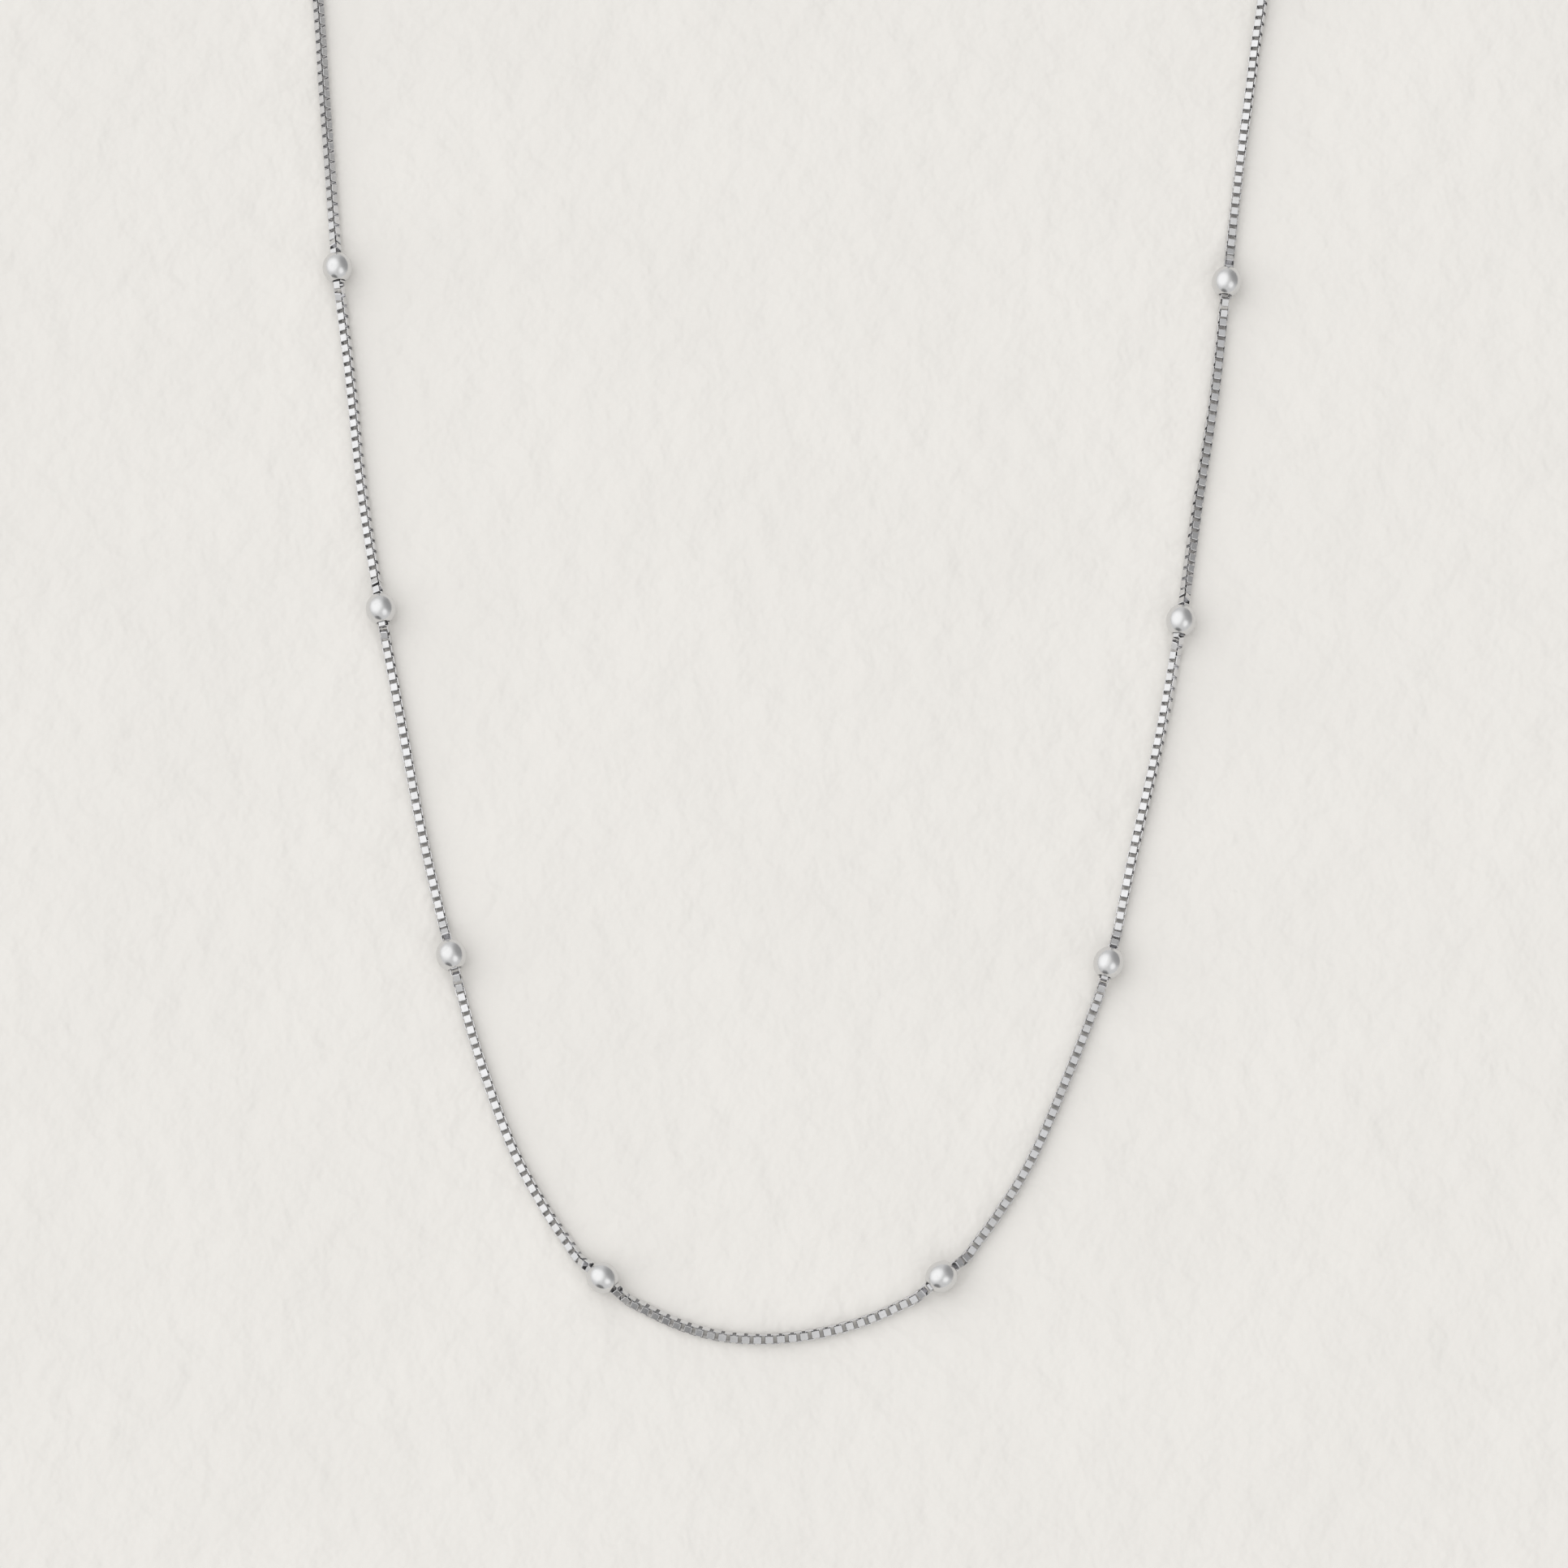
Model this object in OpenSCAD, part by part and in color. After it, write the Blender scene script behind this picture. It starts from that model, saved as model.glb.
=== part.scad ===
// Neck chain with round beads: a fine box chain threaded through twelve polished metal beads,
// closed by a plain clasp and laid flat in a long loop.
// X runs to the right, Y runs up the loop from its bottom bend to the clasp, and Z is up.
// The origin is on the table, under the middle of the loop's box.

/* [Chain] */
// Width of the box chain across its flats
chain_w = 0.97; // [0.8:0.01:1.1]
// Width of the flat strip that each box link is bent from
strip_w = 0.66; // [0.6:0.01:0.85]

/* [Beads] */
// Diameter of the round beads
bead_d = 3.0; // [2.8:0.1:4]
// Length of a bead along the chain
bead_l = 3.3; // [2.8:0.1:4]
// Diameter of the hole that the chain runs through
bead_bore = 1.4; // [1.35:0.05:1.7]

/* [End caps] */
// Length of the cap on each end of the chain
cap_l = 3.4; // [3:0.1:4]
// Outer diameter of the cap
cap_d = 1.9; // [1.8:0.05:2.2]
// Diameter of the cap's bore
cap_bore = 1.44; // [1.4:0.02:1.5]
// Depth of the bore from the cap's mouth
cap_depth = 2.8; // [2.2:0.1:2.8]
// Outer diameter of the eye soldered to each cap
eye_d = 2.4; // [2.3:0.05:2.6]
// Thickness of the eye's round wire
eye_wire = 0.45; // [0.35:0.05:0.45]

/* [Clasp] */
// Width of the clasp across its claw
claw_w = 4.4; // [4:0.1:5]
// Thickness of the claw's round bar
claw_bar = 1.2; // [1:0.05:1.2]
// Thickness of the wire of the clasp's small ring
ring_wire = 0.6; // [0.5:0.05:0.6]

/* [Hidden] */
// The chain's route over the table: x, y, and how far the chain is rolled about its own length, where
// a positive roll tips its upper face to the outside of the loop. The first and last rows are the mouths
// of the end caps. Every third row, from the third one on, is a bead.
route = [
    [-7.5, 88.8, 0], [-18.9, 87.3, 10], [-29.7, 82.9, 20],
    [-38.8, 75.3, 32], [-45.1, 65.2, 40], [-48.2, 53.7, 45],
    [-47.7, 41.7, 45], [-46.7, 29.7, 45], [-45.6, 17.7, 32],
    [-44.1, 5.9, 24], [-42.7, -5.9, 27], [-40.7, -17.8, 20],
    [-38.5, -29.4, 9], [-36.2, -41.1, 7], [-33.3, -52.9, 7],
    [-30.0, -64.3, 8], [-25.4, -75.3, 20], [-18.3, -84.8, 40],
    [-7.8, -90.1, 36], [4.0, -89.7, 20], [14.4, -84.7, 14],
    [21.9, -75.3, 7], [26.9, -64.5, 6], [30.9, -53.7, 3],
    [33.7, -41.8, -14], [36.4, -30.3, -26], [38.5, -19.0, -42],
    [40.3, -7.1, -69], [42.2, 4.6, -80], [43.6, 16.2, -82],
    [45.1, 28.2, -94], [46.8, 40.0, -110], [48.2, 51.8, -124],
    [46.4, 63.6, -128], [40.9, 74.1, -120], [32.1, 82.1, -108],
    [21.6, 87.0, -98], [10.3, 88.8, -90],
];
last_row = len(route) - 1;
beads = 12;
// The first bead's row, and the rows from one bead to the next
first_bead = 2;
bead_step = 3;
// Distance from one row to the next along the chain, which leaves each cap straight along X
row_gap = 11.5;
before_first = [route[1].x + 2 * row_gap, route[1].y, route[0].z];
after_last = [route[last_row - 1].x - 2 * row_gap, route[last_row - 1].y, route[last_row].z];
// The chain stays straight in a bead for this share of a row's gap, and bends over the next share
straight = 0.13;
bend = 0.45;
// It has come down from a bead or a cap to the table at this share of a row's gap
landed = 0.3;
// Where the tubes have their rings: in the end stretches, from bead to bead, and beside the lowest bends
end_rings = [0, 0.3, 1, 1.7, 1.87];
bead_rings = [0.13, 0.3, 1.08, 1.92, 2.7, 2.87];
middle_rings = [0.13, 0.3, 0.9];
// The two halves meet at the loop's lowest place, this far past the middle pair's left bead
meeting = 1.4;
clear = 0.1;
eye_z = eye_d / 2;
eye_r = (eye_d - eye_wire) / 2;
solder = 0.1;
ring_r = (eye_d - ring_wire) / 2;
claw_r = (claw_w - claw_bar) / 2;
left_eye_x = route[0].x + cap_l - solder + eye_d / 2;
right_eye_x = route[last_row].x - cap_l + solder - eye_d / 2;
eye_hole = eye_d / 2 - eye_wire;
clasp_left = left_eye_x + eye_hole - clear - ring_wire;
claw_bar_x = right_eye_x - eye_hole + clear + claw_bar / 2;
clasp_y = route[0].y;
$fn = 64;

function bead_name(number) = str("bead_", number < 10 ? "0" : "", number);

// One point of a smooth curve between b and c, with a before them and d after
function between(a, b, c, d, t) =
    b + (c - a) * t / 2 + (2 * a - 5 * b + 4 * c - d) * t * t / 2 + (3 * b - a - 3 * c + d) * t * t * t / 2;

function row(i) = i < 0 ? before_first : i > last_row ? after_last : route[i];

// x, y and roll at u rows along the route
function along(u) =
    let (i = max(0, min(floor(u), last_row - 1)))
    between(row(i - 1), row(i), row(i + 1), row(i + 2), u - i);

// A share that is 1 up to the distance near, 0 from the distance far, and smooth between them
function fade(distance, near, far) =
    let (s = max(0, min(1, (far - distance) / (far - near))))
    s * s * (3 - 2 * s);

function bead_row(number) = first_bead + bead_step * (number - 1);

function nearest_bead_row(u) = bead_row(max(1, min(beads, round((u - first_bead) / bead_step) + 1)));

// The direction of the route at a bead, for one row's gap
function bead_line(r) = (row(r + 1) - row(r - 1)) / 2;

// x, y and roll with the chain straight through each bead
function threaded(u) =
    let (
        r = nearest_bead_row(u),
        free = along(u),
        line = row(r) + bead_line(r) * (u - r),
        share = fade(abs(u - r), straight, bend)
    )
    [free.x + (line.x - free.x) * share, free.y + (line.y - free.y) * share, free.z];

// How high the chain's middle lies on the table at a given roll
function lying_z(roll) =
    let (c = abs(cos(roll)), s = abs(sin(roll)))
    max(chain_w * c + strip_w * s, chain_w * s + strip_w * c) / 2;

function chain_z(u) =
    let (
        low = lying_z(threaded(u).z),
        at_bead = fade(abs(u - nearest_bead_row(u)), straight, landed),
        at_cap = fade(min(u, last_row - u), 0, landed)
    )
    low + (bead_d / 2 - low) * at_bead + (eye_z - low) * at_cap;

function middle_line(u) = let (p = threaded(u)) [p.x, p.y, chain_z(u)];

function unit(v) = v / norm(v);

// The chain's outline across its length: links standing and lying in turn, as one eight-sided shape
function outline() =
    let (w = chain_w / 2, s = strip_w / 2)
    [[w, s], [s, w], [-s, w], [-w, s], [-w, -s], [-s, -w], [s, -w], [w, -s]];

// One ring of the tube about a point, for a direction of travel and a roll
function ring(point, travel, roll) =
    let (
        out = unit(cross(travel, [0, 0, 1])),
        up = cross(out, travel),
        side = out * cos(roll) - up * sin(roll),
        face = up * cos(roll) + out * sin(roll)
    )
    [for (corner = outline()) point + side * corner.x + face * corner.y];

function ring_at(u) =
    let (step = 0.02, ahead = middle_line(min(u + step, last_row)), behind = middle_line(max(u - step, 0)))
    ring(middle_line(u), unit(ahead - behind), threaded(u).z);

// The ring inside a cap, which is the ring at its mouth moved in along X
function seated(u, inward) = [for (point = ring_at(u)) point + [inward * (cap_depth - clear), 0, 0]];

// The rings' places on the left half, from the cap to the last one before the halves meet
function left_places() =
    concat(
        end_rings,
        [for (number = [1:beads / 2 - 1]) for (share = bead_rings) bead_row(number) + share],
        [for (share = middle_rings) bead_row(beads / 2) + share]
    );

module tube(rings) {
    sides = len(rings[0]);
    end = len(rings) - 1;
    first_face = [for (k = [0:sides - 1]) k];
    last_face = [for (k = [sides - 1:-1:0]) end * sides + k];
    walls = [
        for (i = [0:end - 1])
            for (k = [0:sides - 1])
                let (a = i * sides + k, b = i * sides + (k + 1) % sides)
                each [[a, a + sides, b], [b, a + sides, b + sides]]
    ];
    polyhedron(points = [for (r = rings) each r], faces = concat([first_face, last_face], walls));
}

function meeting_ring() = ring_at(bead_row(beads / 2) + meeting);

module chain_left() {
    places = left_places();
    color("silver")
        tube(concat([seated(0, 1)], [for (u = places) ring_at(u)], [meeting_ring()]));
}

module chain_right() {
    places = left_places();
    count = len(places);
    mirrored = [for (i = [count - 1:-1:0]) ring_at(last_row - places[i])];
    color("silver")
        tube(concat([meeting_ring()], mirrored, [seated(last_row, -1)]));
}

module bead(number) {
    r = bead_row(number);
    line = bead_line(r);
    color("gainsboro")
        translate([row(r).x, row(r).y, bead_d / 2])
            rotate([0, 0, atan2(line.y, line.x)])
                rotate([0, 90, 0])
                    rotate_extrude()
                        difference() {
                            scale([1, bead_l / bead_d])
                                circle(d = bead_d);
                            translate([bead_bore / 2 - bead_d, -bead_l])
                                square([bead_d, 2 * bead_l]);
                        }
}

// A drilled cap with its mouth at the origin, opening along -X, and an eye soldered to its closed end
module end_cap() {
    difference() {
        rotate([0, 90, 0])
            cylinder(d = cap_d, h = cap_l);
        translate([-1, 0, 0])
            rotate([0, 90, 0])
                cylinder(d = cap_bore, h = cap_depth + 1);
    }
    translate([cap_l - solder + eye_d / 2, 0, 0])
        rotate([90, 0, 0])
            rotate_extrude()
                translate([eye_r, 0])
                    circle(d = eye_wire, $fn = 32);
}

module end_cap_left() {
    color("silver")
        translate([route[0].x, clasp_y, eye_z])
            end_cap();
}

module end_cap_right() {
    color("silver")
        translate([route[last_row].x, clasp_y, eye_z])
            rotate([0, 0, 180])
                end_cap();
}

// A claw with its gate shut, in one piece with its back, its lever and the small ring behind
module clasp() {
    ring_x = clasp_left + eye_d / 2;
    claw_x = claw_bar_x - claw_r;
    back_x = ring_x + eye_d / 2 + 0.7;
    color("silver")
        translate([0, clasp_y, eye_z]) {
            translate([ring_x, 0, 0])
                rotate_extrude()
                    translate([ring_r, 0])
                        circle(d = ring_wire, $fn = 32);
            translate([claw_x, 0, 0])
                rotate([0, 0, -90])
                    rotate_extrude(angle = 180)
                        translate([claw_r, 0])
                            circle(d = claw_bar, $fn = 32);
            for (side = [-1, 1])
                hull() {
                    translate([claw_x, side * claw_r, 0])
                        sphere(d = claw_bar, $fn = 24);
                    translate([back_x, side * 0.5, 0])
                        sphere(d = eye_d, $fn = 24);
                }
            hull() {
                translate([claw_x - 0.6, claw_r, 0])
                    sphere(d = claw_bar, $fn = 24);
                translate([claw_x - 1.1, claw_r + 0.4, 0])
                    sphere(d = 0.9, $fn = 24);
            }
        }
}

chain_left();
chain_right();
end_cap_left();
end_cap_right();
clasp();
for (number = [1:beads])
    bead(number);
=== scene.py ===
"""A fine box chain necklace with twelve round polished beads, laid in a long loop on pale paper.

The chain is some eight hundred square links of flat strip, each turned a quarter from the one before and
threaded through it. It runs through hollow drilled beads, and its ends sit in two caps that a plain clasp
joins. X runs to the right, Y up the loop from its bottom bend to the clasp, Z up from the table. All sizes
are in metres.
"""

import math
import random
from bisect import bisect_right

import bmesh
import bpy
from bpy.props import FloatProperty, FloatVectorProperty, IntProperty, PointerProperty
from mathutils import Matrix, Vector


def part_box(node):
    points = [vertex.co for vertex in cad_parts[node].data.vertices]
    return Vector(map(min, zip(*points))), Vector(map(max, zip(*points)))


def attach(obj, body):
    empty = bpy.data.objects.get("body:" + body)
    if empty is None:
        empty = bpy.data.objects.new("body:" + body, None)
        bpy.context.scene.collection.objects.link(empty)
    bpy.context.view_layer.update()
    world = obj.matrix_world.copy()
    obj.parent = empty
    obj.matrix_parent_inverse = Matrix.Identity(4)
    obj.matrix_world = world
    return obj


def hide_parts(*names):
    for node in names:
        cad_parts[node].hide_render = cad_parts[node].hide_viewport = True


bl_info = {
    "name": "Box Chain Necklace",
    "version": (1, 0, 0),
    "blender": (4, 5, 0),
    "location": "View3D > Sidebar > Necklace",
    "description": "Makes a box chain necklace with round beads around its solid model",
    "category": "Add Mesh",
}

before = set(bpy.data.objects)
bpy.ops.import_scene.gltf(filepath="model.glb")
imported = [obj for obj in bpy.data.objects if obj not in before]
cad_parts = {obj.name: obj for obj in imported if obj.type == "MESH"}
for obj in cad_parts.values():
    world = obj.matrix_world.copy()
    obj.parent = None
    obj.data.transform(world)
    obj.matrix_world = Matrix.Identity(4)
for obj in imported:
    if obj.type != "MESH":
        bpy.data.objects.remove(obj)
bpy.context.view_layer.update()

UP = Vector((0, 0, 1))
bead_low, bead_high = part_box("bead_01")
cap_low, cap_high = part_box("end_cap_left")
clasp_low, clasp_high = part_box("clasp")

# The chain's route over the table: x and y in metres, and the roll about its own length in degrees, where
# a positive roll tips its upper face to the outside of the loop. The first and last rows are the mouths of
# the end caps. Every third row, from the third one on, is a bead.
ROUTE = (
    (-0.0075, 0.0888, 0), (-0.0189, 0.0873, 10), (-0.0297, 0.0829, 20),
    (-0.0388, 0.0753, 32), (-0.0451, 0.0652, 40), (-0.0482, 0.0537, 45),
    (-0.0477, 0.0417, 45), (-0.0467, 0.0297, 45), (-0.0456, 0.0177, 32),
    (-0.0441, 0.0059, 24), (-0.0427, -0.0059, 27), (-0.0407, -0.0178, 20),
    (-0.0385, -0.0294, 9), (-0.0362, -0.0411, 7), (-0.0333, -0.0529, 7),
    (-0.0300, -0.0643, 8), (-0.0254, -0.0753, 20), (-0.0183, -0.0848, 40),
    (-0.0078, -0.0901, 36), (0.0040, -0.0897, 20), (0.0144, -0.0847, 14),
    (0.0219, -0.0753, 7), (0.0269, -0.0645, 6), (0.0309, -0.0537, 3),
    (0.0337, -0.0418, -14), (0.0364, -0.0303, -26), (0.0385, -0.0190, -42),
    (0.0403, -0.0071, -69), (0.0422, 0.0046, -80), (0.0436, 0.0162, -82),
    (0.0451, 0.0282, -94), (0.0468, 0.0400, -110), (0.0482, 0.0518, -124),
    (0.0464, 0.0636, -128), (0.0409, 0.0741, -120), (0.0321, 0.0821, -108),
    (0.0216, 0.0870, -98), (0.0103, 0.0888, -90),
)
LAST_ROW = len(ROUTE) - 1
BEADS = 12
FIRST_BEAD = 2
BEAD_STEP = 3
# How far apart the rows would stand in a straight run past each end
ROW_GAP = 0.0115
# From a bead's middle the chain is straight up to the first share of a row's gap, and back on its curve at
# the second
STRAIGHT = 0.13
BEND = 0.45
# It has come down to the table at this share of a row's gap from a bead's middle or a cap's mouth
LANDED = 0.3
# How deep the chain's last links sit in the caps
SEAT_DEPTH = 0.0027
# How many times the chain's length is measured in each row's gap
TRACK_STEPS = 60
# A faceted bead of this share of its solid's size stays inside the solid
BEAD_FIT = 0.996
# Faces are shaded as one where the cosine between their normals is above this
BEND_LIMIT = 0.6
# Square millimetres in a square metre
SQUARE_MM = 1e6
# The start of the random draws that let the links lean and give each its tone
LINK_SEED = 5845
# The radiance that the camera sees past the paper's edge
BACKDROP = 0.8


class NecklaceChain(bpy.types.PropertyGroup):
    """Sizes of the box chain and its strip."""

    links: IntProperty(name="Links", description="Links from one end cap to the other", default=802, min=2)
    width: FloatProperty(
        name="Width", description="Width of the chain across its flats", default=0.00097, subtype="DISTANCE"
    )
    length: FloatProperty(
        name="Link length", description="Outer length of one link", default=0.00081, subtype="DISTANCE"
    )
    strip_width: FloatProperty(
        name="Strip width", description="Width of the flat strip", default=0.00066, subtype="DISTANCE"
    )
    strip_thickness: FloatProperty(
        name="Strip thickness", description="Thickness of the flat strip", default=0.000072,
        subtype="DISTANCE",
    )
    corner: FloatProperty(
        name="Corner radius", description="Outer radius of a link's bent corners", default=0.00011,
        subtype="DISTANCE",
    )
    edge: FloatProperty(
        name="Edge", description="Width of the worn edge along the strip", default=0.000018,
        subtype="DISTANCE",
    )
    slack: FloatProperty(
        name="Slack", description="Most that a link leans out of line", default=math.radians(1.2),
        subtype="ANGLE",
    )


class NecklaceBeads(bpy.types.PropertyGroup):
    """Sizes of the hollow beads."""

    diameter: FloatProperty(
        name="Diameter", description="Diameter of a bead", default=(bead_high.z - bead_low.z) * BEAD_FIT,
        subtype="DISTANCE",
    )
    length: FloatProperty(
        name="Length", description="Length of a bead along the chain", default=0.00329, subtype="DISTANCE"
    )
    mouth: FloatProperty(
        name="Mouth", description="Diameter of the hole at each end", default=0.00136, subtype="DISTANCE"
    )
    wall: FloatProperty(
        name="Wall", description="Thickness of the bead's shell", default=0.0002, subtype="DISTANCE"
    )
    lip: FloatProperty(
        name="Lip", description="Radius of the rounded edge at the mouth", default=0.00007,
        subtype="DISTANCE",
    )


class NecklaceFittings(bpy.types.PropertyGroup):
    """Sizes of the end caps and the clasp."""

    cap_length: FloatProperty(
        name="Cap length", description="Length of a cap without its eye", default=0.0034, subtype="DISTANCE"
    )
    cap_diameter: FloatProperty(
        name="Cap diameter", description="Outer diameter of a cap", default=0.0019, subtype="DISTANCE"
    )
    cap_bore: FloatProperty(
        name="Cap bore", description="Diameter of a cap's bore", default=0.00144, subtype="DISTANCE"
    )
    cap_depth: FloatProperty(
        name="Cap depth", description="Depth of a cap's bore", default=0.0028, subtype="DISTANCE"
    )
    eye_wire: FloatProperty(
        name="Eye wire", description="Thickness of the wire of a cap's eye", default=0.00045,
        subtype="DISTANCE",
    )
    ring_wire: FloatProperty(
        name="Ring wire", description="Thickness of the clasp's small ring", default=0.0006,
        subtype="DISTANCE",
    )
    claw_width: FloatProperty(
        name="Claw width", description="Width of the clasp across its claw", default=0.0044,
        subtype="DISTANCE",
    )
    claw_bar: FloatProperty(
        name="Claw bar", description="Thickness of the claw's round bar", default=0.0012, subtype="DISTANCE"
    )


class NecklaceFinish(bpy.types.PropertyGroup):
    """Colours and polish of the metal."""

    silver: FloatVectorProperty(
        name="Silver", description="Colour of the links", default=(0.716, 0.717, 0.728),
        subtype="COLOR", size=3, min=0, max=1,
    )
    bead_silver: FloatVectorProperty(
        name="Bead silver", description="Colour of the beads, the caps and the clasp",
        default=(0.71, 0.71, 0.712), subtype="COLOR", size=3, min=0, max=1,
    )
    dulled: FloatVectorProperty(
        name="Dulled silver", description="Colour where the polish has worn", default=(0.60, 0.597, 0.59),
        subtype="COLOR", size=3, min=0, max=1,
    )
    # Painted shade: this cooler silver is painted into the links' bends and insides and stands for the
    # colour of the shade that falls there
    shade_tint_silver: FloatVectorProperty(
        name="Inner silver", description="Colour in the links' bends and inside them",
        default=(0.738, 0.735, 0.745), subtype="COLOR", size=3, min=0, max=1,
    )
    chain_roughness: FloatProperty(
        name="Chain roughness", description="Roughness of the links", default=0.2, subtype="FACTOR"
    )
    bead_roughness: FloatProperty(
        name="Bead roughness", description="Roughness of the beads", default=0.19, subtype="FACTOR"
    )


class NecklaceStage(bpy.types.PropertyGroup):
    """The paper, the light and the camera."""

    paper: FloatVectorProperty(
        name="Paper", description="Colour of the paper", default=(0.94, 0.915, 0.873), subtype="COLOR",
        size=3, min=0, max=1,
    )
    paper_width: FloatProperty(
        name="Paper width", description="Width of the square sheet of paper", default=8.0,
        subtype="DISTANCE",
    )
    tooth: FloatProperty(
        name="Tooth", description="Depth of the paper's tooth", default=0.0006, subtype="DISTANCE"
    )
    elevation: FloatProperty(
        name="Elevation", description="Angle of the camera above the table", default=math.radians(76),
        subtype="ANGLE",
    )
    distance: FloatProperty(
        name="Distance", description="From the camera to the middle of the picture", default=0.64,
        subtype="DISTANCE",
    )
    view_width: FloatProperty(
        name="View width", description="Width of the picture at that distance", default=0.15456,
        subtype="DISTANCE",
    )
    target: FloatVectorProperty(
        name="Target", description="The middle of the picture, on the table",
        default=(-0.0008, -0.0353, 0.0), subtype="XYZ", unit="LENGTH",
    )
    room_light: FloatProperty(
        name="Room light", description="Radiance of the pale room", default=0.76, min=0
    )
    window_light: FloatProperty(
        name="Window light", description="Radiance that the large soft box adds on the left", default=0.5,
        min=0,
    )
    lamp_light: FloatProperty(
        name="Lamp light", description="Radiance that the small soft box adds at the near right",
        default=0.4, min=0,
    )
    dim_light: FloatProperty(
        name="Dim corner", description="Radiance that the far right corner of the room lacks", default=0.37,
        min=0,
    )
    near_light: FloatProperty(
        name="Dim near side", description="Radiance that the near side of the room lacks", default=0.55,
        min=0,
    )


# The route and what stands on it


def route_row(i):
    """x, y and roll of a row, with a row past each end that carries the chain straight out along X."""
    if i < 0:
        return Vector((ROUTE[1][0] + 2 * ROW_GAP, ROUTE[1][1], ROUTE[0][2]))
    if i > LAST_ROW:
        return Vector((ROUTE[-2][0] - 2 * ROW_GAP, ROUTE[-2][1], ROUTE[-1][2]))
    return Vector(ROUTE[i])


def between(a, b, c, d, t):
    """One point of a smooth curve between b and c, with a before them and d after."""
    return (
        b
        + (c - a) * t / 2
        + (2 * a - 5 * b + 4 * c - d) * t * t / 2
        + (3 * b - a - 3 * c + d) * t * t * t / 2
    )


def fade(distance, near, far):
    """A share that is 1 up to the distance near, 0 from the distance far, and smooth between them."""
    share = max(0.0, min(1.0, (far - distance) / (far - near)))
    return share * share * (3 - 2 * share)


def bead_row(number):
    """The row of a bead, which is numbered from 1."""
    return FIRST_BEAD + BEAD_STEP * (number - 1)


def nearest_bead_row(u):
    """The row of the bead that is nearest to u rows along the route."""
    number = math.floor((u - FIRST_BEAD) / BEAD_STEP + 0.5) + 1
    return bead_row(max(1, min(BEADS, number)))


def bead_line(r):
    """The direction of the route at a bead, for one row's gap."""
    return (route_row(r + 1) - route_row(r - 1)) / 2


def threaded(u):
    """x, y and roll at u rows along the route, with the chain straight through each bead."""
    i = max(0, min(math.floor(u), LAST_ROW - 1))
    free = between(route_row(i - 1), route_row(i), route_row(i + 1), route_row(i + 2), u - i)
    r = nearest_bead_row(u)
    line = route_row(r) + bead_line(r) * (u - r)
    share = fade(abs(u - r), STRAIGHT, BEND)
    return Vector((free.x + (line.x - free.x) * share, free.y + (line.y - free.y) * share, free.z))


def middle_line(u, chain):
    """The chain's middle at u rows along the route: low on the table, up in a bead and in a cap."""
    place = threaded(u)
    c = abs(math.cos(math.radians(place.z)))
    s = abs(math.sin(math.radians(place.z)))
    width = chain.width
    strip = chain.strip_width
    low = max(width * c + strip * s, width * s + strip * c) / 2
    at_bead = fade(abs(u - nearest_bead_row(u)), STRAIGHT, LANDED)
    at_cap = fade(min(u, LAST_ROW - u), 0, LANDED)
    bead_z = (bead_low.z + bead_high.z) / 2
    eye_z = (cap_low.z + cap_high.z) / 2
    return Vector((place.x, place.y, low + (bead_z - low) * at_bead + (eye_z - low) * at_cap))


class Track:
    """The chain's middle line measured along its length, from seat to seat in the two caps."""

    def __init__(self, chain):
        self.chain = chain
        self.places = [i / TRACK_STEPS for i in range(LAST_ROW * TRACK_STEPS + 1)]
        self.distances = [SEAT_DEPTH]
        points = [middle_line(u, chain) for u in self.places]
        for last, point in zip(points, points[1:]):
            self.distances.append(self.distances[-1] + (point - last).length)
        self.length = self.distances[-1] + SEAT_DEPTH

    def at(self, distance):
        """The middle, the direction of travel and the roll at a distance along the chain."""
        inside = min(max(distance, SEAT_DEPTH), self.length - SEAT_DEPTH)
        i = min(bisect_right(self.distances, inside), len(self.distances) - 1)
        start, end = self.distances[i - 1], self.distances[i]
        u = self.places[i - 1] + (self.places[i] - self.places[i - 1]) * (inside - start) / (end - start)
        step = 0.5 / TRACK_STEPS
        ahead = middle_line(min(u + step, LAST_ROW), self.chain)
        behind = middle_line(max(u - step, 0), self.chain)
        travel = (ahead - behind).normalized()
        middle = middle_line(u, self.chain) + travel * (distance - inside)
        return middle, travel, math.radians(threaded(u).z)


def frame_along(middle, travel, roll):
    """A matrix that puts X along the chain, Y across it and Z through its upper face."""
    out = travel.cross(UP).normalized()
    up = out.cross(travel)
    across = up * math.sin(roll) - out * math.cos(roll)
    face = up * math.cos(roll) + out * math.sin(roll)
    return Matrix.Translation(middle) @ Matrix((travel, across, face)).transposed().to_4x4()


# Finishes


def material_with_shader(name):
    """A new material and its shader."""
    material = bpy.data.materials.new(name)
    material.use_nodes = True
    shader = material.node_tree.nodes["Principled BSDF"]
    return material, shader


def add_node(material, kind, **inputs):
    """A new node, with the given sockets set. An underscore in a socket's name stands for a space."""
    node = material.node_tree.nodes.new(kind)
    for name, value in inputs.items():
        node.inputs[name.replace("_", " ")].default_value = value
    return node


def wire(material, output, socket):
    """Joins one node's output to another's socket."""
    material.node_tree.links.new(output, socket)


def attribute(material, name):
    """What a piece's mesh holds under a name for each vertex."""
    node = add_node(material, "ShaderNodeAttribute")
    node.attribute_name = name
    return node.outputs["Fac"]


def object_pattern(material, scale, detail, stretch=(1, 1, 1), turn=(0, 0, 0)):
    """Noise on the piece's own coordinates, drawn out by stretch after a turn."""
    place = add_node(material, "ShaderNodeTexCoord")
    mapping = add_node(material, "ShaderNodeMapping", Scale=stretch, Rotation=turn)
    noise = add_node(material, "ShaderNodeTexNoise", Scale=scale, Detail=detail, Roughness=0.55)
    wire(material, place.outputs["Object"], mapping.inputs["Vector"])
    wire(material, mapping.outputs["Vector"], noise.inputs["Vector"])
    return noise.outputs["Fac"]


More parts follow.
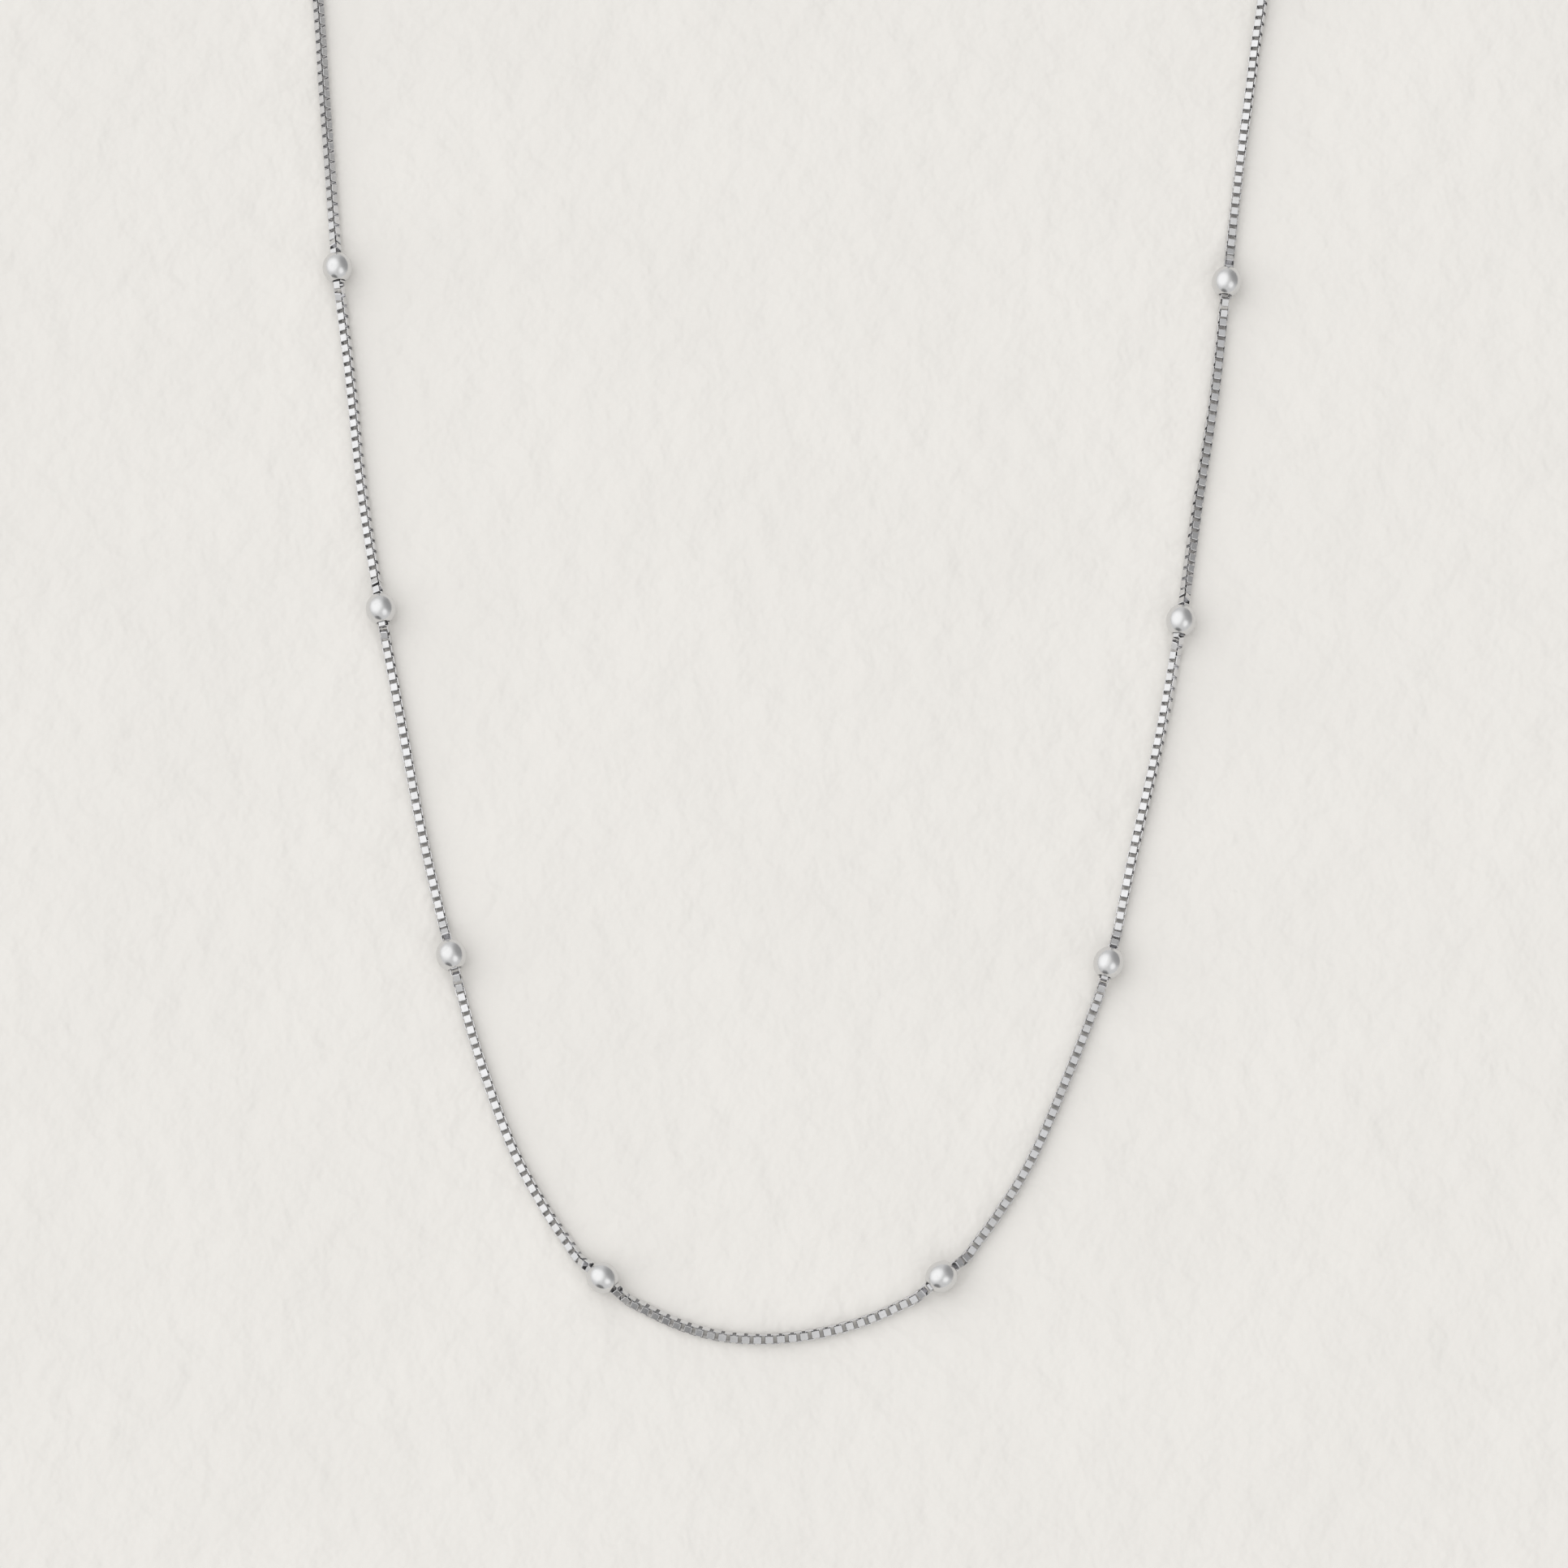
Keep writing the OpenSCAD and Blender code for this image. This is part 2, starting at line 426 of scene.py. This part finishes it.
def remap(material, value, span, new_span, interpolation="LINEAR"):
    """Carries a value from one span over to another, and holds it inside."""
    low, high = span
    new_low, new_high = new_span
    node = add_node(
        material, "ShaderNodeMapRange", From_Min=low, From_Max=high, To_Min=new_low, To_Max=new_high
    )
    node.interpolation_type = interpolation
    wire(material, value, node.inputs["Value"])
    return node.outputs["Result"]


def arithmetic(material, operation, first, second):
    """A sum or the like of two terms, each a number or a node's output."""
    node = add_node(material, "ShaderNodeMath")
    node.operation = operation
    for socket, value in zip(node.inputs, (first, second)):
        if isinstance(value, (int, float)):
            socket.default_value = value
        else:
            wire(material, value, socket)
    return node.outputs["Value"]


def blend_colours(material, share, first, second):
    """A mix of two colours, each three numbers or a node's output, that is all second where share is 1."""
    node = add_node(material, "ShaderNodeMix")
    node.data_type = "RGBA"
    for name, colour in (("A", first), ("B", second)):
        if isinstance(colour, bpy.types.NodeSocket):
            wire(material, colour, node.inputs[name])
        else:
            node.inputs[name].default_value = (*colour, 1)
    wire(material, share, node.inputs["Factor"])
    return node.outputs["Result"]


def hairlines(material, scale):
    """Fine handling scratches in three directions, as a share from 0 to 1."""
    total = None
    for turn in ((0.3, 0.5, 0.2), (1.1, -0.4, 0.9), (-0.6, 1.3, 2.1)):
        noise = object_pattern(material, scale, detail=2.0, stretch=(1.0, 26.0, 26.0), turn=turn)
        line = remap(material, noise, (0.64, 0.72), (0.0, 1.0))
        total = line if total is None else arithmetic(material, "MAXIMUM", total, line)
    return total


def polished_silver(name, silver, dulled, roughness, scratch_scale, scratch_depth, tone_share=0.0):
    """Silver whose polish has clouded a little, with hairline scratches and, on links, a tone for each."""
    material, shader = material_with_shader(name)
    shader.inputs["Metallic"].default_value = 1.0
    cloud = object_pattern(material, scratch_scale * 0.9, detail=5.0)
    wear = remap(material, cloud, (0.52, 0.78), (0.0, 0.5))
    if tone_share > 0:
        link_wear = arithmetic(material, "MULTIPLY", attribute(material, "tone"), tone_share)
        wear = arithmetic(material, "ADD", wear, link_wear)
    scratches = hairlines(material, scratch_scale)
    colour = blend_colours(material, wear, silver, dulled)
    wire(material, colour, shader.inputs["Base Color"])
    rough = remap(material, wear, (0.0, 1.0), (roughness * 0.85, roughness * 1.7))
    scratched = arithmetic(material, "MULTIPLY", scratches, 0.07)
    wire(material, arithmetic(material, "ADD", rough, scratched), shader.inputs["Roughness"])
    bump = add_node(material, "ShaderNodeBump", Strength=0.25, Distance=scratch_depth)
    wire(material, arithmetic(material, "SUBTRACT", 1.0, scratches), bump.inputs["Height"])
    wire(material, bump.outputs["Normal"], shader.inputs["Normal"])
    return material


def rounded_silver(name, finish, scratch_scale, scratch_depth):
    """The silver of the beads, the caps and the clasp."""
    return polished_silver(
        name, finish.bead_silver, finish.dulled, finish.bead_roughness, scratch_scale, scratch_depth
    )


def paint_recess_shade(material, shade_tint_silver):
    """Paints shade into the links: brings in the painted shade tint by each vertex's recess, from 0 on the
    flats to 1 deep inside where shade falls.
    """
    base = material.node_tree.nodes["Principled BSDF"].inputs["Base Color"]
    outer_silver = base.links[0].from_socket
    wire(material, blend_colours(material, attribute(material, "shade_depth"), outer_silver, shade_tint_silver), base)


def soft_patch(world, direction, aim, near, far, light):
    """Radiance that is full within near degrees of the aim and fades away by far degrees."""
    toward = add_node(world, "ShaderNodeVectorMath")
    toward.operation = "DOT_PRODUCT"
    toward.inputs[1].default_value = Vector(aim).normalized()
    wire(world, direction, toward.inputs[0])
    edge = (math.cos(math.radians(far)), math.cos(math.radians(near)))
    return remap(world, toward.outputs["Value"], edge, (0.0, light), "SMOOTHSTEP")


def paper(stage):
    """Matt pale drawing paper: a soft embossed tooth, slow mottling and a few darker fibres."""
    material, shader = material_with_shader("pale_paper")
    shader.inputs["Roughness"].default_value = 0.9
    shader.inputs["Specular IOR Level"].default_value = 0.25
    mottle = object_pattern(material, 60.0, detail=4.0, turn=(0, 0, 0.4))
    fibres = object_pattern(material, 900.0, detail=1.0, turn=(0, 0, 1.3))
    tooth = object_pattern(material, 230.0, detail=3.0, stretch=(1, 0.9, 1), turn=(0, 0, 0.5))
    darker = [channel * 0.93 for channel in stage.paper]
    mottled = remap(material, mottle, (0.35, 0.75), (0.0, 0.35))
    flecked = remap(material, fibres, (0.78, 0.86), (0.0, 0.5))
    share = arithmetic(material, "ADD", mottled, flecked)
    wire(material, blend_colours(material, share, stage.paper, darker), shader.inputs["Base Color"])
    bump = add_node(material, "ShaderNodeBump", Strength=1.0, Distance=stage.tooth)
    wire(material, tooth, bump.inputs["Height"])
    wire(material, bump.outputs["Normal"], shader.inputs["Normal"])
    return material


# Meshes


def join_mesh(bm, part):
    """Adds one bmesh to another and frees it."""
    mesh = bpy.data.meshes.new("part")
    part.to_mesh(mesh)
    part.free()
    bm.from_mesh(mesh)
    bpy.data.meshes.remove(mesh)


def finish_piece(bm, name, material, nodes):
    """Turns a bmesh in its place into a shaded piece that stands for CAD nodes and rides with them."""
    mesh = bpy.data.meshes.new(name)
    bm.to_mesh(mesh)
    bm.free()
    mesh.materials.append(material)
    mesh.shade_smooth()
    piece = bpy.data.objects.new(name, mesh)
    bpy.context.scene.collection.objects.link(piece)
    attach(piece, "root")
    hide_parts(*nodes)
    return piece


def flat_normals(mesh):
    """A normal for each face's corners, which keeps the flats flat, the bends round and the rims sharp."""
    around = [[] for _ in mesh.vertices]
    for face in mesh.polygons:
        for number in face.vertices:
            around[number].append(face)
    normals = []
    for face in mesh.polygons:
        for number in face.vertices:
            total = Vector()
            for other in around[number]:
                if face.normal.dot(other.normal) > BEND_LIMIT:
                    total += other.normal * (other.area * SQUARE_MM) ** 2
            normals.append(total.normalized())
    return normals


def bevel_edges(bm, edges, width, segments):
    """Rounds edges, to this width on each side."""
    bmesh.ops.bevel(
        bm, geom=edges, offset=width, offset_type="OFFSET", segments=segments, profile=0.5, affect="EDGES",
        material=-1,
    )


def past_hole(vertex, half_hole, margin):
    """Whether a vertex of a link lying flat is further out than the edge of its hole by a margin."""
    return abs(vertex.co.x) > half_hole.x + margin or abs(vertex.co.y) > half_hole.y + margin


def box_link(chain):
    """One link lying flat: strip bent round four corners, with its edges worn and its inside sharp."""
    bm = bmesh.new()
    bmesh.ops.create_cube(bm, size=1.0)
    bmesh.ops.scale(bm, vec=(chain.length, chain.width, chain.strip_width), verts=bm.verts)
    uprights = [e for e in bm.edges if abs((e.verts[0].co - e.verts[1].co).z) > chain.strip_width / 2]
    bevel_edges(bm, uprights, chain.corner, 2)
    rims = [face for face in bm.faces if abs(face.normal.z) > 0.9]
    bmesh.ops.inset_individual(bm, faces=rims, thickness=chain.strip_thickness, use_even_offset=True)
    hole_edges = [edge for face in rims for edge in face.edges]
    bmesh.ops.delete(bm, geom=rims, context="FACES_ONLY")
    bmesh.ops.bridge_loops(bm, edges=hole_edges)
    half_hole = Vector((chain.length, chain.width, 0)) / 2 - Vector((1, 1, 0)) * chain.strip_thickness
    # The inset leaves edges shorter than this inside each corner
    short = 0.3 * chain.strip_thickness
    inner_edges = [
        edge
        for edge in bm.edges
        if edge.calc_length() < short and not any(past_hole(v, half_hole, short / 10) for v in edge.verts)
    ]
    bmesh.ops.collapse(bm, edges=inner_edges)
    outer_rims = [
        edge
        for edge in bm.edges
        if len(edge.link_faces) == 2
        and sum(abs(face.normal.z) > 0.9 for face in edge.link_faces) == 1
        and all(past_hole(v, half_hole, short) for v in edge.verts)
    ]
    bevel_edges(bm, outer_rims, chain.edge, 1)
    bmesh.ops.recalc_face_normals(bm, faces=bm.faces)
    mesh = bpy.data.meshes.new("box_link")
    bm.to_mesh(mesh)
    bm.free()
    return mesh


def link_shade_mask(link, chain):
    """How far each vertex of a link is sunk below its outer flats, from 0 to 1 in the bends and inside: the
    mask of the painted shade tint.
    """
    return [min(1.0, (chain.width / 2 - abs(vertex.co.y)) / chain.corner) for vertex in link.vertices]


def hollow_bead(beads, centre, direction):
    """A nearly round shell with a rounded mouth at each end, drilled along a level direction."""
    radius = beads.diameter / 2
    # Where a plane through the bead leaves a hole as wide as the mouth
    reach = beads.length / 2 * math.sqrt(1 - (beads.mouth / beads.diameter) ** 2)
    just_inside = reach * 0.9999
    bm = bmesh.new()
    bmesh.ops.create_uvsphere(bm, u_segments=56, v_segments=40, radius=radius)
    bmesh.ops.scale(bm, vec=(1, 1, beads.length / beads.diameter), verts=bm.verts)
    for end in (-1, 1):
        bmesh.ops.bisect_plane(
            bm,
            geom=bm.verts[:] + bm.edges[:] + bm.faces[:],
            dist=radius / 10000,
            plane_co=(0, 0, end * reach),
            plane_no=(0, 0, end),
            clear_outer=True,
        )
    bmesh.ops.recalc_face_normals(bm, faces=bm.faces)
    if bm.faces[0].normal.dot(bm.faces[0].calc_center_median()) < 0:
        bmesh.ops.reverse_faces(bm, faces=bm.faces)
    bmesh.ops.solidify(bm, geom=bm.faces[:], thickness=beads.wall)
    lip_edges = [edge for edge in bm.edges if min(abs(v.co.z) for v in edge.verts) > just_inside]
    bevel_edges(bm, lip_edges, beads.lip, 3)
    turn = UP.rotation_difference(Vector((direction.x, direction.y, 0)).normalized())
    bmesh.ops.transform(bm, matrix=Matrix.Translation(centre) @ turn.to_matrix().to_4x4(), verts=bm.verts)
    return bm


def ring(middle_radius, wire_size, matrix, angle=math.tau, steps=48):
    """Round wire bent round Z, a whole ring or a part of one with closed ends."""
    bm = bmesh.new()
    section = bmesh.ops.create_circle(bm, segments=20, radius=wire_size / 2)["verts"]
    bmesh.ops.rotate(bm, verts=section, cent=(0, 0, 0), matrix=Matrix.Rotation(math.pi / 2, 3, "X"))
    bmesh.ops.translate(bm, verts=section, vec=(middle_radius, 0, 0))
    whole = math.isclose(angle, math.tau)
    if not whole:
        bmesh.ops.edgeloop_fill(bm, edges=bm.edges[:])
    bmesh.ops.spin(
        bm, geom=bm.verts[:] + bm.edges[:] + bm.faces[:], cent=(0, 0, 0), axis=(0, 0, 1), angle=angle,
        steps=steps, use_merge=whole,
    )
    bmesh.ops.remove_doubles(bm, verts=bm.verts, dist=wire_size / 1000)
    bmesh.ops.recalc_face_normals(bm, faces=bm.faces)
    bmesh.ops.transform(bm, matrix=matrix, verts=bm.verts)
    return bm


def ball(diameter, place):
    """A ball round a place, for tapered_bar."""
    bm = bmesh.new()
    bmesh.ops.create_uvsphere(bm, u_segments=32, v_segments=16, radius=diameter / 2)
    bmesh.ops.translate(bm, verts=bm.verts, vec=place)
    return bm


def tapered_bar(first_size, first_place, second_size, second_place):
    """The skin round two balls."""
    bm = bmesh.new()
    join_mesh(bm, ball(first_size, first_place))
    join_mesh(bm, ball(second_size, second_place))
    hull = bmesh.ops.convex_hull(bm, input=bm.verts[:])
    bmesh.ops.delete(bm, geom=hull["geom_interior"] + hull["geom_unused"], context="VERTS")
    return bm


def cast(bm, grain, smoothing):
    """Joins overlapping shapes into one casting of a grain size, and softens it this many times."""
    mesh = bpy.data.meshes.new("casting")
    bm.to_mesh(mesh)
    bm.free()
    rough_cast = bpy.data.objects.new("casting", mesh)
    bpy.context.scene.collection.objects.link(rough_cast)
    remesh = rough_cast.modifiers.new("grain", "REMESH")
    remesh.mode = "VOXEL"
    remesh.voxel_size = grain
    depsgraph = bpy.context.evaluated_depsgraph_get()
    result = bmesh.new()
    result.from_mesh(rough_cast.evaluated_get(depsgraph).data)
    bpy.data.objects.remove(rough_cast)
    bpy.data.meshes.remove(mesh)
    for _ in range(smoothing):
        bmesh.ops.smooth_vert(
            result, verts=result.verts, factor=0.5, use_axis_x=True, use_axis_y=True, use_axis_z=True
        )
    return result


def end_cap(fittings, eye_size):
    """A cap with its mouth at the origin, opening along -X, and an eye soldered to its domed end."""
    bm = bmesh.new()
    radius = fittings.cap_diameter / 2
    bmesh.ops.create_cone(
        bm, cap_ends=True, segments=48, radius1=radius, radius2=radius, depth=fittings.cap_length
    )
    bmesh.ops.translate(bm, verts=bm.verts, vec=(0, 0, fittings.cap_length / 2))
    closed = [e for e in bm.edges if min(v.co.z for v in e.verts) > fittings.cap_length * 0.99]
    bevel_edges(bm, closed, radius * 0.55, 6)
    mouth = [face for face in bm.faces if face.normal.z < -0.9]
    bmesh.ops.inset_region(bm, faces=mouth, thickness=radius - fittings.cap_bore / 2)
    bored = bmesh.ops.extrude_face_region(bm, geom=mouth)["geom"]
    floor = [v for v in bored if isinstance(v, bmesh.types.BMVert)]
    bmesh.ops.translate(bm, verts=floor, vec=(0, 0, fittings.cap_depth))
    bmesh.ops.delete(bm, geom=mouth, context="FACES_ONLY")
    bmesh.ops.rotate(bm, verts=bm.verts, cent=(0, 0, 0), matrix=Matrix.Rotation(math.pi / 2, 3, "Y"))
    # How deep the eye sinks into the dome's solder
    solder = 0.0001
    eye_place = Matrix.Translation((fittings.cap_length - solder + eye_size / 2, 0, 0))
    upright = Matrix.Rotation(math.pi / 2, 4, "X")
    join_mesh(bm, ring((eye_size - fittings.eye_wire) / 2, fittings.eye_wire, eye_place @ upright))
    return bm


def link_place(track, distance, quarter, leans):
    """Where a link goes at a distance along the chain, leaning a little out of line."""
    middle, travel, roll = track.at(distance)
    place = frame_along(middle, travel, roll + quarter + leans[0] / 2)
    return place @ Matrix.Rotation(leans[1], 4, "Y") @ Matrix.Rotation(leans[2], 4, "Z")


def add_link(bm, template, place):
    """Adds a link, lifted where it would sink into the table, and returns its vertices."""
    link = template.copy()
    link.transform(place)
    below = min(vertex.co.z for vertex in link.vertices)
    if below < 0:
        link.transform(Matrix.Translation((0, 0, -below)))
    known = len(bm.verts)
    bm.from_mesh(link)
    bpy.data.meshes.remove(link)
    bm.verts.ensure_lookup_table()
    return bm.verts[known:]


# Operators, one for each kind of piece and one for the stage


class NECKLACE_OT_make_links(bpy.types.Operator):
    """Make the box links of both halves of the chain"""

    bl_idname = "necklace.make_links"
    bl_label = "Make Box Links"

    def execute(self, context):
        chain = context.scene.necklace_chain
        finish = context.scene.necklace_finish
        track = Track(chain)
        draw = random.Random(LINK_SEED)
        template = box_link(chain)
        shade_mask = link_shade_mask(template, chain)
        normals = flat_normals(template)
        material = polished_silver(
            "link_silver", finish.silver, finish.dulled, finish.chain_roughness,
            scratch_scale=2600.0, scratch_depth=0.000004, tone_share=0.5,
        )
        # Painted shade: the links' bends and insides take the shade tint, which stands for the colour of
        # their shade
        paint_recess_shade(material, finish.shade_tint_silver)
        pitch = track.length / chain.links
        half = chain.links // 2
        halves = (
            ("links_left", "chain_left", range(half)),
            ("links_right", "chain_right", range(half, chain.links)),
        )
        for name, node, numbers in halves:
            bm = bmesh.new()
            tone = bm.verts.layers.float.new("tone")
            # Each vertex's share of the painted shade tint
            shade_depth = bm.verts.layers.float.new("shade_depth")
            corner_normals = []
            for number in numbers:
                leans = [draw.uniform(-chain.slack, chain.slack) for _ in range(3)]
                quarter = math.pi / 2 if number % 2 else 0
                place = link_place(track, (number + 0.5) * pitch, quarter, leans)
                verts = add_link(bm, template, place)
                turn = place.to_3x3()
                corner_normals.extend(turn @ normal for normal in normals)
                link_tone = draw.random()
                for vertex, depth in zip(verts, shade_mask):
                    vertex[tone] = link_tone
                    vertex[shade_depth] = depth
            piece = finish_piece(bm, name, material, [node])
            piece.data.normals_split_custom_set(corner_normals)
        bpy.data.meshes.remove(template)
        return {"FINISHED"}


class NECKLACE_OT_make_beads(bpy.types.Operator):
    """Make the hollow beads on the chain"""

    bl_idname = "necklace.make_beads"
    bl_label = "Make Beads"

    def execute(self, context):
        beads = context.scene.necklace_beads
        finish = context.scene.necklace_finish
        material = rounded_silver("bead_silver", finish, scratch_scale=1500.0, scratch_depth=0.000004)
        for number in range(1, BEADS + 1):
            node = f"bead_{number:02d}"
            low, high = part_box(node)
            bm = hollow_bead(beads, (low + high) / 2, bead_line(bead_row(number)))
            finish_piece(bm, f"{node}_shell", material, [node])
        return {"FINISHED"}


class NECKLACE_OT_make_end_caps(bpy.types.Operator):
    """Make the two end caps with their eyes"""

    bl_idname = "necklace.make_end_caps"
    bl_label = "Make End Caps"

    def execute(self, context):
        fittings = context.scene.necklace_fittings
        finish = context.scene.necklace_finish
        material = rounded_silver("cap_silver", finish, scratch_scale=1500.0, scratch_depth=0.000004)
        eye_size = cap_high.z - cap_low.z
        for node, mouth, turn in (("end_cap_left", ROUTE[0], 0.0), ("end_cap_right", ROUTE[-1], math.pi)):
            bm = cast(end_cap(fittings, eye_size), grain=0.00005, smoothing=3)
            place = Matrix.Translation((mouth[0], mouth[1], eye_size / 2)) @ Matrix.Rotation(turn, 4, "Z")
            bmesh.ops.transform(bm, matrix=place, verts=bm.verts)
            finish_piece(bm, f"{node}_cast", material, [node])
        return {"FINISHED"}


class NECKLACE_OT_make_clasp(bpy.types.Operator):
    """Make the plain clasp that closes the loop"""

    bl_idname = "necklace.make_clasp"
    bl_label = "Make Clasp"

    def execute(self, context):
        fittings = context.scene.necklace_fittings
        finish = context.scene.necklace_finish
        material = rounded_silver("clasp_silver", finish, scratch_scale=1100.0, scratch_depth=0.000005)
        # The claw's two sides meet in a neck behind the ring: how far behind it, and how far off the middle
        neck_gap = 0.0007
        neck_side = 0.0005
        # The lever's nub: its root and its tip behind the claw's bend, how far it stands out, and its size
        nub_root_back = 0.0006
        nub_tip_back = 0.0011
        nub_height = 0.0004
        nub_size = 0.0009
        thickness = clasp_high.z - clasp_low.z
        bar = fittings.claw_bar
        claw_radius = (fittings.claw_width - bar) / 2
        middle = Vector((0, ROUTE[0][1], clasp_low.z + thickness / 2))
        ring_x = clasp_low.x + thickness / 2
        claw_x = clasp_high.x - bar / 2 - claw_radius
        neck_x = ring_x + thickness / 2 + neck_gap
        bm = ring(
            (thickness - fittings.ring_wire) / 2,
            fittings.ring_wire,
            Matrix.Translation(middle + Vector((ring_x, 0, 0))),
        )
        quarter_back = Matrix.Rotation(-math.pi / 2, 4, "Z")
        claw_place = Matrix.Translation(middle + Vector((claw_x, 0, 0)))
        join_mesh(bm, ring(claw_radius, bar, claw_place @ quarter_back, angle=math.pi, steps=32))
        for side in (-1, 1):
            tip = middle + Vector((claw_x, side * claw_radius, 0))
            neck = middle + Vector((neck_x, side * neck_side, 0))
            join_mesh(bm, tapered_bar(bar, tip, thickness, neck))
        nub_root = middle + Vector((claw_x - nub_root_back, claw_radius, 0))
        nub_tip = middle + Vector((claw_x - nub_tip_back, claw_radius + nub_height, 0))
        join_mesh(bm, tapered_bar(bar, nub_root, nub_size, nub_tip))
        bm = cast(bm, grain=0.00008, smoothing=5)
        finish_piece(bm, "clasp_cast", material, ["clasp"])
        return {"FINISHED"}


class NECKLACE_OT_make_stage(bpy.types.Operator):
    """Lay the paper, light the room and place the camera"""

    bl_idname = "necklace.make_stage"
    bl_label = "Make Stage"

    def execute(self, context):
        stage = context.scene.necklace_stage
        context.scene.view_settings.view_transform = "Standard"
        self.lay_paper(stage)
        self.light_room(context.scene, stage)
        self.place_camera(context.scene, stage)
        return {"FINISHED"}

    def lay_paper(self, stage):
        """A flat sheet that fills the picture."""
        bm = bmesh.new()
        bmesh.ops.create_grid(bm, x_segments=2, y_segments=2, size=stage.paper_width / 2)
        mesh = bpy.data.meshes.new("paper")
        bm.to_mesh(mesh)
        bm.free()
        mesh.materials.append(paper(stage))
        sheet = bpy.data.objects.new("paper", mesh)
        bpy.context.scene.collection.objects.link(sheet)

    def light_room(self, scene, stage):
        """A plain pale room with two soft boxes, dimmer in its far right corner and on the near side."""
        world = bpy.data.worlds.new("studio")
        world.use_nodes = True
        scene.world = world
        background = world.node_tree.nodes["Background"]
        background.inputs["Color"].default_value = (1, 1, 1, 1)
        direction = add_node(world, "ShaderNodeTexCoord").outputs["Generated"]
        # Where each patch is, its full and its outer angle, and the radiance it adds
        patches = (
            ((-0.59, 0.17, 0.79), 16, 58, stage.window_light),
            ((0.51, -0.47, 0.72), 2, 27, stage.lamp_light),
            ((0.84, 0.46, 0.26), 14, 62, -stage.dim_light),
            ((-0.34, -0.93, 0.10), 12, 28, -stage.near_light),
        )
        radiance = stage.room_light
        for aim, near, far, light in patches:
            patch = soft_patch(world, direction, aim, near, far, light)
            radiance = arithmetic(world, "ADD", radiance, patch)
        pale = add_node(world, "ShaderNodeMix", B=BACKDROP)
        wire(world, add_node(world, "ShaderNodeLightPath").outputs["Is Camera Ray"], pale.inputs["Factor"])
        wire(world, radiance, pale.inputs["A"])
        wire(world, pale.outputs["Result"], background.inputs["Strength"])

    def place_camera(self, scene, stage):
        """A camera that looks down at the target from the near side."""
        data = bpy.data.cameras.new("camera")
        data.sensor_width = 36.0
        data.lens = data.sensor_width * stage.distance / stage.view_width
        data.clip_start = 0.01
        camera = bpy.data.objects.new("camera", data)
        reach = Vector((0, -math.cos(stage.elevation), math.sin(stage.elevation))) * stage.distance
        camera.location = Vector(stage.target) + reach
        camera.rotation_euler = (math.pi / 2 - stage.elevation, 0, 0)
        scene.collection.objects.link(camera)
        scene.camera = camera


class NECKLACE_PT_sidebar(bpy.types.Panel):
    """Sizes, finishes and the pieces to make"""

    bl_idname = "NECKLACE_PT_sidebar"
    bl_label = "Box Chain Necklace"
    bl_space_type = "VIEW_3D"
    bl_region_type = "UI"
    bl_category = "Necklace"

    def draw(self, context):
        for name in GROUPS:
            group = getattr(context.scene, name)
            section = self.layout.box()
            for field in group.__annotations__:
                section.prop(group, field)
        for operator in OPERATORS:
            self.layout.operator(operator.bl_idname)


GROUPS = {
    "necklace_chain": NecklaceChain,
    "necklace_beads": NecklaceBeads,
    "necklace_fittings": NecklaceFittings,
    "necklace_finish": NecklaceFinish,
    "necklace_stage": NecklaceStage,
}
OPERATORS = (
    NECKLACE_OT_make_stage,
    NECKLACE_OT_make_links,
    NECKLACE_OT_make_beads,
    NECKLACE_OT_make_end_caps,
    NECKLACE_OT_make_clasp,
)


def register():
    for name, group in GROUPS.items():
        bpy.utils.register_class(group)
        setattr(bpy.types.Scene, name, PointerProperty(type=group))
    for operator in OPERATORS:
        bpy.utils.register_class(operator)
    bpy.utils.register_class(NECKLACE_PT_sidebar)


def unregister():
    bpy.utils.unregister_class(NECKLACE_PT_sidebar)
    for operator in reversed(OPERATORS):
        bpy.utils.unregister_class(operator)
    for name, group in GROUPS.items():
        delattr(bpy.types.Scene, name)
        bpy.utils.unregister_class(group)


def main():
    register()
    bpy.ops.necklace.make_stage()
    bpy.ops.necklace.make_links()
    bpy.ops.necklace.make_beads()
    bpy.ops.necklace.make_end_caps()
    bpy.ops.necklace.make_clasp()


if __name__ == "__main__":
    main()
